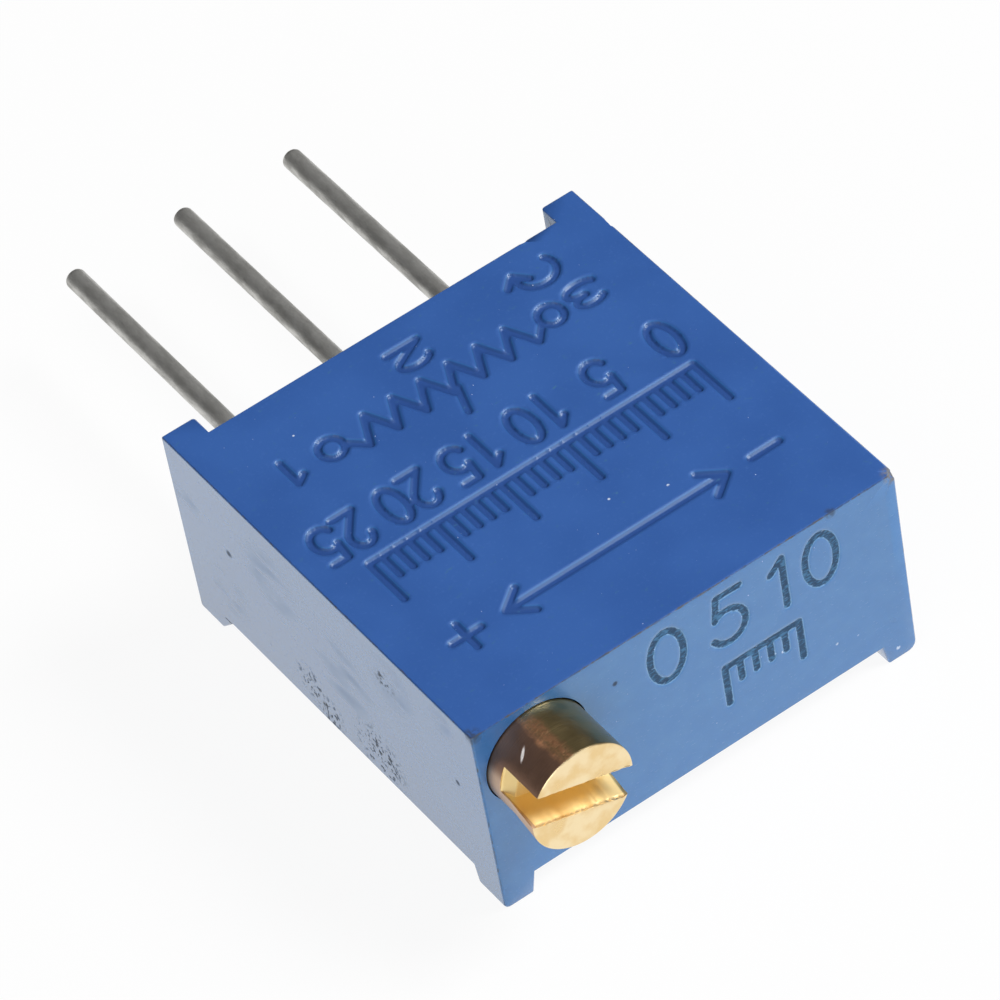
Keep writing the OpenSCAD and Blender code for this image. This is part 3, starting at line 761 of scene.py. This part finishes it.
def makeScrew(material):
    faceY, seam, c = screwLow.y + ss["faceInset"], frontY + ss["seam"], ss["chamfer"]
    head = benchPiece("head", lathe([
        (0, faceY), (headR * 0.55, faceY), (headR - c, faceY), (headR - c * 0.5, faceY + c * 0.12),
        (headR - c * 0.12, faceY + c * 0.5), (headR, faceY + c), (headR, (faceY + seam) / 2), (headR, seam),
        (0, seam)], ss["sides"]))
    turned = Matrix.Rotation(radians(ss["slotTilt"]), 4, "Y")
    cutter = slotCutter(faceY)
    bmesh.ops.transform(cutter, matrix=turned, verts=cutter.verts)
    carve(head, benchPiece("saw", cutter))
    burr = slotBurr(faceY)
    bmesh.ops.transform(burr, matrix=turned, verts=burr.verts)
    burrMesh = bpy.data.meshes.new("burr")
    burr.to_mesh(burrMesh)
    across = turned @ Vector((0, 0, -1))  # the lower half has spread away from the slot
    for mesh in (head.data, burrMesh):
        for v in mesh.vertices:
            if v.co.dot(across) > ss["slotWidth"] / 2 - 0.08:  # with lips that bulge into the slot
                v.co += across * ss["spread"] * max(0, 1 - (v.co.y - faceY) / ss["slotDepth"])
    rest = cadCopy("adjustment_screw")
    cutOff(rest, seam, -1)
    for mesh in (head.data, burrMesh):
        mesh.transform(Matrix.Translation(screwAxis))
        rest.from_mesh(mesh)
    bpy.data.objects.remove(head)
    piece = benchPiece("brassScrew", rest)
    finishPiece(piece, "screw", "adjustment_screw", material, sharp=12)
    print("screw:", len(piece.data.polygons), "faces")


def turnedBrass():  # free-cutting brass: bright pale sawn end, the turned flank tarnished brown on one side, with painted reflections and highlights on the flank
    known = newMaterial("turnedBrass", 0.3, 1)
    addNodes(known, (
        ("glint", "mapping", {"Location": tuple(-c for c in ss["paintedGlintSpot"])}),
        ("at", "mapping", {"Location": (-screwAxis.x, 0, -screwAxis.z)}),
        ("parts", "split", "at"),
        ("surface", "ShaderNodeNewGeometry"),
        ("facing", "split", "surface.True Normal"),
        ("flat", "join", "parts.X", {2: "parts.Z"}),
        ("radius", "vector length", "flat"),
        ("outside", "smooth", "radius", headR - 0.05, headR - 0.02),
        ("level", "absolute", "facing.Y"),
        ("across", "smooth", "level", 0.6, 0.3),
        ("torn", "smooth", "level", 0.1, 0.3),  # ragged lips of the slot, dull
        ("evenEnd", "smooth", "level", 0.9, 0.98),
        ("torn", "subtract", "torn", "evenEnd", {"use_clamp": True}),
        ("torn", "subtract", "torn", "outside", {"use_clamp": True}),
        ("flank", "multiply", "outside", "across"),
        ("long", "mapping", {"Scale": (9, 1.2, 9)}),
        ("streak", "noise", {"Scale": 0.8, "Detail": 4, "Vector": "long"}),
        ("rings", "mapping", {"Scale": (1, 34, 1)}),
        ("turning", "noise", {"Scale": 1.0, "Detail": 2, "Vector": "rings"}),
        ("fine", "noise", {"Scale": 16.0, "Detail": 4}),
        ("smear", "noise", {"Scale": 2.6, "Detail": 4}),
        ("sawn", "smooth", "smear", 0.35, 0.65),
        ("colour", "mix", "sawn", "#F0D198", "#FBE5B8"),
        ("inside", "smooth", "parts.Y", screwLow.y + 0.04, screwLow.y + 0.1, {4: 0.9}),
        ("torn", "subtract", "torn", "inside", {"use_clamp": True}),
        ("ripped", "multiply", "torn", 0.75),
        ("dulled", "range", "flank", {4: 0.8}),
        ("edgeOf", "multiply_add", "streak", 0.16, "parts.X"),
        ("side", "smooth", "edgeOf", -0.1, -0.24),  # from here leftwards the flank is tarnished
        ("tarnished", "multiply", "side", "flank"),
        # painted reflection: the tarnished flank turns paler towards its underside, as if mirroring the white
        # table
        ("low", "smooth", "parts.Z", 0.5, 0.25),
        ("brown", "mix", "low", "#9C7A66", "#CFB39B"),
        # painted highlight: a bright copper-tinted, speckled streak along the upper flank
        ("strayed", "multiply_add", "smear", 0.3, "parts.X"),
        ("bandIn", "smooth", "strayed", -0.2, -0.06),
        ("bandOut", "smooth", "strayed", 0.22, 0.04),
        ("above", "smooth", "parts.Z", 0.0, 0.2),
        ("band", "multiply", "bandIn", "bandOut"),
        ("band", "multiply", "band", "above"),
        ("band", "multiply", "band", "flank"),
        ("copper", "multiply_add", "fine", 0.6, "streak"),
        ("copper", "smooth", "copper", 0.6, 1.0, 0.3, 0.95),
        ("copper", "multiply", "copper", "band"),
        # painted highlight: a small elongated white glint on the flank, made non-metallic
        ("glint", "mapping", {"Rotation": (0, 0, -0.675), "Vector": "glint"}),
        ("glint", "vector multiply", "glint", (0.6, 2.6, 0.5)),
        ("glint", "vector length", "glint"),
        ("glint", "smooth", "glint", 0.11, 0.05),
        ("metal", "subtract", 1.0, "glint"),
        ("gloss", "range", "smear", 0.3, 0.7, 0.27, 0.38),
        ("gloss", "multiply_add", "tarnished", 0.14, "gloss"),
        ("lining", "subtract", "inside", "flank", {"use_clamp": True}),
        ("gloss", "multiply_add", "lining", 0.22, "gloss"),
        ("gloss", "multiply_add", "torn", 0.3, "gloss"),
        ("height", "multiply", "turning", "flank"),
        ("speckled", "multiply_add", "band", 2.5, 0.1),
        ("height", "multiply_add", "fine", "speckled", "height"),
        ("relief", "bump", {"Distance": 0.004 * mm, "Height": "height"}),
    ))
    layers = {"inside": "#FBE2A4", "ripped": "#8F7447", "dulled": "#A38D62", "tarnished": "brown",
              "copper": "#FFBC8C", "glint": "#F2ECE8"}
    for share, hue in layers.items():
        addNode(known, "colour", "mix", share, "colour", hue)
    return feedShader(known, {
        "Base Color": "colour", "Roughness": "gloss", "Metallic": "metal", "Normal": "relief"})


makeScrew(turnedBrass())


leadSizes = {"start": 1.5, "overlap": 0.03, "dip": 1.3, "dipFade": 1.2}
wireSizes = {"tipRound": 0.1, "unevenness": 0.028, "stations": 200, "sides": 36}


def wireTree():  # a dipped wire lead: straight, its cut tip rounded by solder, uneven where the dip ends
    known = newTree("wireLead", {
        "start": "Vector", "end": "Vector", "length": "Float", "radius": "Float", "tipRound": "Float",
        "dipStart": "Float", "dipEnd": "Float", "unevenness": "Float", "seed": "Float", "stations": "Int",
        "sides": "Int"})
    addNodes(known, (
        ("line", "GeometryNodeCurvePrimitiveLine", {"Start": "start", "End": "end"}),
        ("fine", "GeometryNodeResampleCurve", {"Curve": "line", "Count": "stations"}),
        ("spline", "GeometryNodeSplineParameter"),
        ("left", "subtract", "length", "spline.Length"),
        ("share", "divide", "left", "tipRound", {"use_clamp": True}),
        ("drop", "subtract", 1.0, "share"),
        ("square", "multiply", "drop", "drop"),
        ("arch", "subtract", 1.0, "square"),
        ("arch", "sqrt", "arch"),
        ("cut", "subtract", "arch", 1.0),
        ("size", "multiply_add", "cut", "tipRound", "radius"),
        ("ring", "GeometryNodeCurvePrimitiveCircle", {"Radius": 1.0, "Resolution": "sides"}),
        ("tube", "GeometryNodeCurveToMesh", {"Curve": "fine", "Profile Curve": "ring", "Scale": "size",
                                             "Fill Caps": True}),
        ("place", "GeometryNodeInputPosition"),
        ("parts", "split", "place"),
        ("fade", "smooth", "parts.Y", "dipStart", "dipEnd", 1.0, 0.25),
        ("rough", "noise", {
            "noise_dimensions": "4D", "Scale": 5.0, "Detail": 2.0, "Vector": "place", "W": "seed"}),
        ("lump", "subtract", "rough", 0.5),
        ("lump", "multiply", "lump", "fade"),
        ("lump", "multiply", "lump", "unevenness"),
        ("outward", "GeometryNodeInputNormal"),
        ("push", "vector scale", "outward", {"Scale": "lump"}),
        ("dipped", "GeometryNodeSetPosition", {"Geometry": "tube", "Offset": "push"}),
    ))
    return endTree(known, "dipped")


def makeLeads(material):
    tree, start, dipEnd = wireTree(), leadSizes["start"], endY + leadSizes["dip"]
    for n in (1, 2, 3):
        high = cornersOf("terminal_%d" % n)[1]
        tail = cadCopy("terminal_%d" % n)
        xs, zs = zip(*[(v.co.x, v.co.z) for v in tail.verts if v.co.y > endY])
        x, z, radius = (min(xs) + max(xs)) / 2, (min(zs) + max(zs)) / 2, (max(xs) - min(xs)) / 2
        cutOff(tail, start + leadSizes["overlap"], 1)
        wire = benchPiece("wire", None)
        growTree(wire, tree, {
            **wireSizes, "start": (x, start, z), "end": (x, high.y, z), "length": high.y - start,
            "radius": radius, "dipStart": dipEnd - leadSizes["dipFade"], "dipEnd": dipEnd, "seed": 1.7 * n,
            "material": material})
        tail.from_mesh(wire.data)
        bpy.data.objects.remove(wire)
        piece = benchPiece("lead%d" % n, tail)
        finishPiece(piece, "housing", "terminal_%d" % n, material)
        print("lead", n, len(piece.data.polygons), "faces")


def tinnedWire():  # hot-dipped copper wire: soft grey, cloudy, pitted near the body
    known = newMaterial("tinnedWire", 0.55, 1)
    addNodes(known, (
        ("parts", "split", "at"),
        ("long", "mapping", {"Scale": (1, 0.35, 1)}),
        ("cloud", "noise", {"Scale": 6.0, "Detail": 4, "Vector": "long"}),
        ("pits", "noise", {"Scale": 14.0, "Detail": 2}),
        ("shade", "smooth", "cloud", 0.3, 0.7),
        ("colour", "mix", "shade", "#AEADA9", "#D8D7D3"),
        ("root", "smooth", "parts.Y", endY + 1.3, endY + 0.7),  # where the dip met the housing
        ("speck", "smooth", "pits", 0.62, 0.7, {4: 0.8}),
        ("speck", "multiply", "speck", "root"),
        ("colour", "mix", "speck", "colour", "#E0DFDA"),
        ("gloss", "range", "cloud", 0.3, 0.7, 0.6, 0.48),
        ("relief", "bump", {"Distance": 0.004 * mm, "Height": "pits"}),
    ))
    return feedShader(known, {"Base Color": "colour", "Roughness": "gloss", "Normal": "relief"})


makeLeads(tinnedWire())


pottingSizes = {"creep": 0.07, "creepWidth": 0.14, "swell": 0.02, "waves": 0.35, "tile": 0.35,
                "alongWall": 0.25, "nearWall": (0.03, 0.07, 0.12, 0.2, 0.32), "fromWall": 0.028}


def makePotting(material):  # the cast face creeps up the walls of the pocket
    bm, ps = cadCopy("back_potting"), pottingSizes
    low, high = cornersOf("back_potting")
    picked = [f for f in bm.faces
              if f.normal.z < -hs["square"] and f.calc_center_median().z < low.z + hs["touch"]]
    sides = [[(e.verts[0].co.x, e.verts[0].co.y), (e.verts[1].co.x, e.verts[1].co.y)]
             for f in picked for e in f.edges if sum(g in picked for g in e.link_faces) == 1]
    points = []
    for (x0, y0), (x1, y1) in sides:
        length = hypot(x1 - x0, y1 - y0)
        n = max(1, round(length / ps["alongWall"]))
        for i in range(1, n):
            x, y = x0 + (x1 - x0) * i / n, y0 + (y1 - y0) * i / n
            for off in ps["nearWall"]:
                for sign in (-1, 1):
                    points.append((x + sign * off * (y1 - y0) / length, y - sign * off * (x1 - x0) / length))
    points = [p for p, far in zip(points, farFrom(np.array(points), sides)) if far > ps["fromWall"]]
    step = ps["tile"]
    points += [(float(x), float(y)) for x in np.arange(low.x + step, high.x, step)
               for y in np.arange(low.y + step, high.y, step)]
    retile(bm, picked, lambda co: (co.x, co.y), lambda p: (p[0], p[1], low.z), points)
    face = [v for v in bm.verts if abs(v.co.z - low.z) < 0.001]
    for v, far in zip(face, farFrom(np.array([(v.co.x, v.co.y) for v in face]), sides)):
        swell = ps["swell"] * bumps(v.co.x * ps["waves"], v.co.y * ps["waves"], 2)
        v.co.z = low.z - ps["creep"] * exp(-far / ps["creepWidth"]) + swell
    piece = benchPiece("backPotting", bm)
    finishPiece(piece, "housing", "back_potting", material, sharp=40)
    print("potting:", len(piece.data.polygons), "faces")


def castEpoxy():  # cast epoxy: dark blue, glossy, slightly wavy with a few pin bubbles
    known = newMaterial("castEpoxy", 0.16, 0, 1.55)
    addNodes(known, (
        ("cloud", "noise", {"Scale": 0.9, "Detail": 3}),
        ("pins", "ShaderNodeTexVoronoi", {"Scale": 2.2, "Vector": "at"}),
        ("pin", "smooth", "pins.Distance", 0.03, 0.1),
        ("colour", "mix", "cloud", "#1E3A78", "#294A8E"),
        ("height", "multiply_add", "cloud", 0.5, "pin"),
        ("relief", "bump", {"Distance": 0.03 * mm, "Height": "height"}),
    ))
    return feedShader(known, {"Base Color": "colour", "Normal": "relief"})


makePotting(castEpoxy())


innerFinishes = {  # name, two colours, size of the pattern in mm, roughness, metallic, bump in mm
    "screw_o_ring": ("siliconeRubber", "#26201D", "#332B27", 0.05, 0.6, 0, 0.002),  # dull and even
    "screw_clip": ("springBronze", "#A87B3E", "#C4954F", 0.15, 0.28, 1, 0.001),  # rolled sheet, warm
    "worm_wheel": ("mouldedAcetal", "#E4E1D4", "#F2F0E6", 0.5, 0.38, 0, 0.002),  # waxy off-white
    "wiper": ("silverAlloySheet", "#C9BE9C", "#DDD4B8", 0.1, 0.24, 1, 0.001),  # pale gold spring sheet
    "substrate": ("aluminaCeramic", "#E2E2DC", "#F4F4EF", 0.04, 0.5, 0, 0.002),  # chalky white, fine grain
    "resistive_track": ("cermetFilm", "#171917", "#2A2C2A", 0.06, 0.45, 0, 0.003),  # dark glassy ink
    "collector_film": ("silverPalladiumFilm", "#ACACA6", "#CACAC4", 0.05, 0.42, 1, 0.002),  # satin grey
    "end_film": ("silverPalladiumFilm", "#ACACA6", "#CACAC4", 0.05, 0.42, 1, 0.002),
    "solder_joint": ("tinSolder", "#B9BAB8", "#D6D7D4", 0.12, 0.25, 1, 0.002),  # bright, softly crystalline
}


def innerFinish(name, dark, light, size, roughness, metallic, depth):
    if name in bpy.data.materials:
        return bpy.data.materials[name]
    known = newMaterial(name, roughness, metallic)
    addNodes(known, (
        ("grain", "noise", {"Scale": 1 / size, "Detail": 3}),
        ("colour", "mix", "grain", dark, light),
        ("relief", "bump", {"Distance": depth * mm, "Height": "grain"}),
    ))
    return feedShader(known, {"Base Color": "colour", "Normal": "relief"})


for node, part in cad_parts.items():
    for key, finish in innerFinishes.items():
        if node.startswith(key):
            part.data.materials.clear()
            part.data.materials.append(innerFinish(*finish))
print("inner parts dressed")


studio = {
    "table": "#F4F4F4", "tableSize": 1.4, "tableGlow": 0.92,
    "viewAzimuth": -27.72, "viewElevation": 46.28, "viewRoll": 10.9,
    "distance": 131.2, "aimRight": 0.951, "aimDown": 0.802, "lens": 250.1,
    "sky": ((0.0, 0.06), (0.5, 0.07), (0.85, 0.12), (1.0, 0.35)),  # sine of the height, grey level
    "lamps": {  # azimuth from the screw's end towards +X, elevation, distance, size, level on a card
        "key": (62, 48, 0.35, 0.14, 0.92), "fill": (-64, 36, 0.45, 0.35, 0.27),
        "front": (-22, 14, 0.45, 0.3, 0.31),
    },
}


def makeTable():
    bm = bmesh.new()
    bmesh.ops.create_grid(bm, x_segments=1, y_segments=1, size=studio["tableSize"] / 2)
    table = benchPiece("table", bm)
    known = newMaterial("paleTable", 0.6)
    addNodes(known, (
        ("rays", "ShaderNodeLightPath"),
        ("seen", "maximum", "rays.Is Camera Ray", "rays.Is Glossy Ray"),
        ("seen", "maximum", "seen", "rays.Is Transmission Ray"),
        ("share", "multiply", "seen", studio["tableGlow"]),
        ("glow", "ShaderNodeEmission", {"Color": (1, 1, 1, 1), "Strength": 1.0}),
        ("blend", "ShaderNodeMixShader", "share", "shader", "glow"),
    ))
    known["shader"].inputs["Base Color"].default_value = srgb(studio["table"])
    known["tree"].links.new(known["blend"].outputs[0], known["output"].inputs["Surface"])
    table.data.materials.append(known["made"])


def makeSky():
    world = bpy.data.worlds.new("studio")
    scene.world = world
    world.use_nodes = True
    world.node_tree.nodes.clear()
    known = {"tree": world.node_tree}
    addNodes(known, (
        ("way", "ShaderNodeTexCoord"),
        ("parts", "split", "way.Generated"),
        ("levels", "ShaderNodeValToRGB", "parts.Z"),
        ("rays", "ShaderNodeLightPath"),
        ("seen", "mix", "rays.Is Camera Ray", "levels", (1, 1, 1, 1)),
        ("back", "ShaderNodeBackground", {"Color": "seen", "Strength": 1.0}),
        ("output", "ShaderNodeOutputWorld", {"Surface": "back"}),
    ))
    stops = known["levels"].color_ramp.elements
    for i, (height, grey) in enumerate(studio["sky"]):
        stop = stops[i] if i < 2 else stops.new(height)
        stop.position, stop.color = height, (grey, grey, grey, 1)


def makeLamp(name, azimuth, elevation, distance, size, level):
    data = bpy.data.lights.new(name, "AREA")
    data.size = size
    data.energy = level * pi ** 2 * distance ** 2
    lamp = bpy.data.objects.new(name, data)
    a, e = radians(azimuth), radians(elevation)
    away = Vector((sin(a) * cos(e), -cos(a) * cos(e), sin(e)))
    lamp.matrix_world = Matrix.LocRotScale(away * distance, away.to_track_quat("Z", "Y"), None)
    scene.collection.objects.link(lamp)


def makeCamera():
    a, e, roll = [radians(studio[k]) for k in ("viewAzimuth", "viewElevation", "viewRoll")]
    forward = Vector((-sin(a) * cos(e), cos(a) * cos(e), -sin(e)))
    level = forward.cross(Vector((0, 0, 1))).normalized()
    fall = forward.cross(level)
    right = cos(roll) * level + sin(roll) * fall
    down = cos(roll) * fall - sin(roll) * level
    aim = (cadBox[0] + cadBox[1]) / 2 + (right * studio["aimRight"] + down * studio["aimDown"]) * mm
    data = bpy.data.cameras.new("camera")
    data.lens = studio["lens"]
    data.clip_start, data.clip_end = 0.005, 10
    camera = bpy.data.objects.new("camera", data)
    turn = Matrix((right, -down, -forward)).transposed().to_quaternion()
    camera.matrix_world = Matrix.LocRotScale(aim - forward * studio["distance"] * mm, turn, None)
    scene.collection.objects.link(camera)
    scene.camera = camera


makeTable()
makeSky()
for name, facts in studio["lamps"].items():
    makeLamp(name, *facts)
makeCamera()
scene.view_settings.view_transform = "Standard"
print("studio ready")
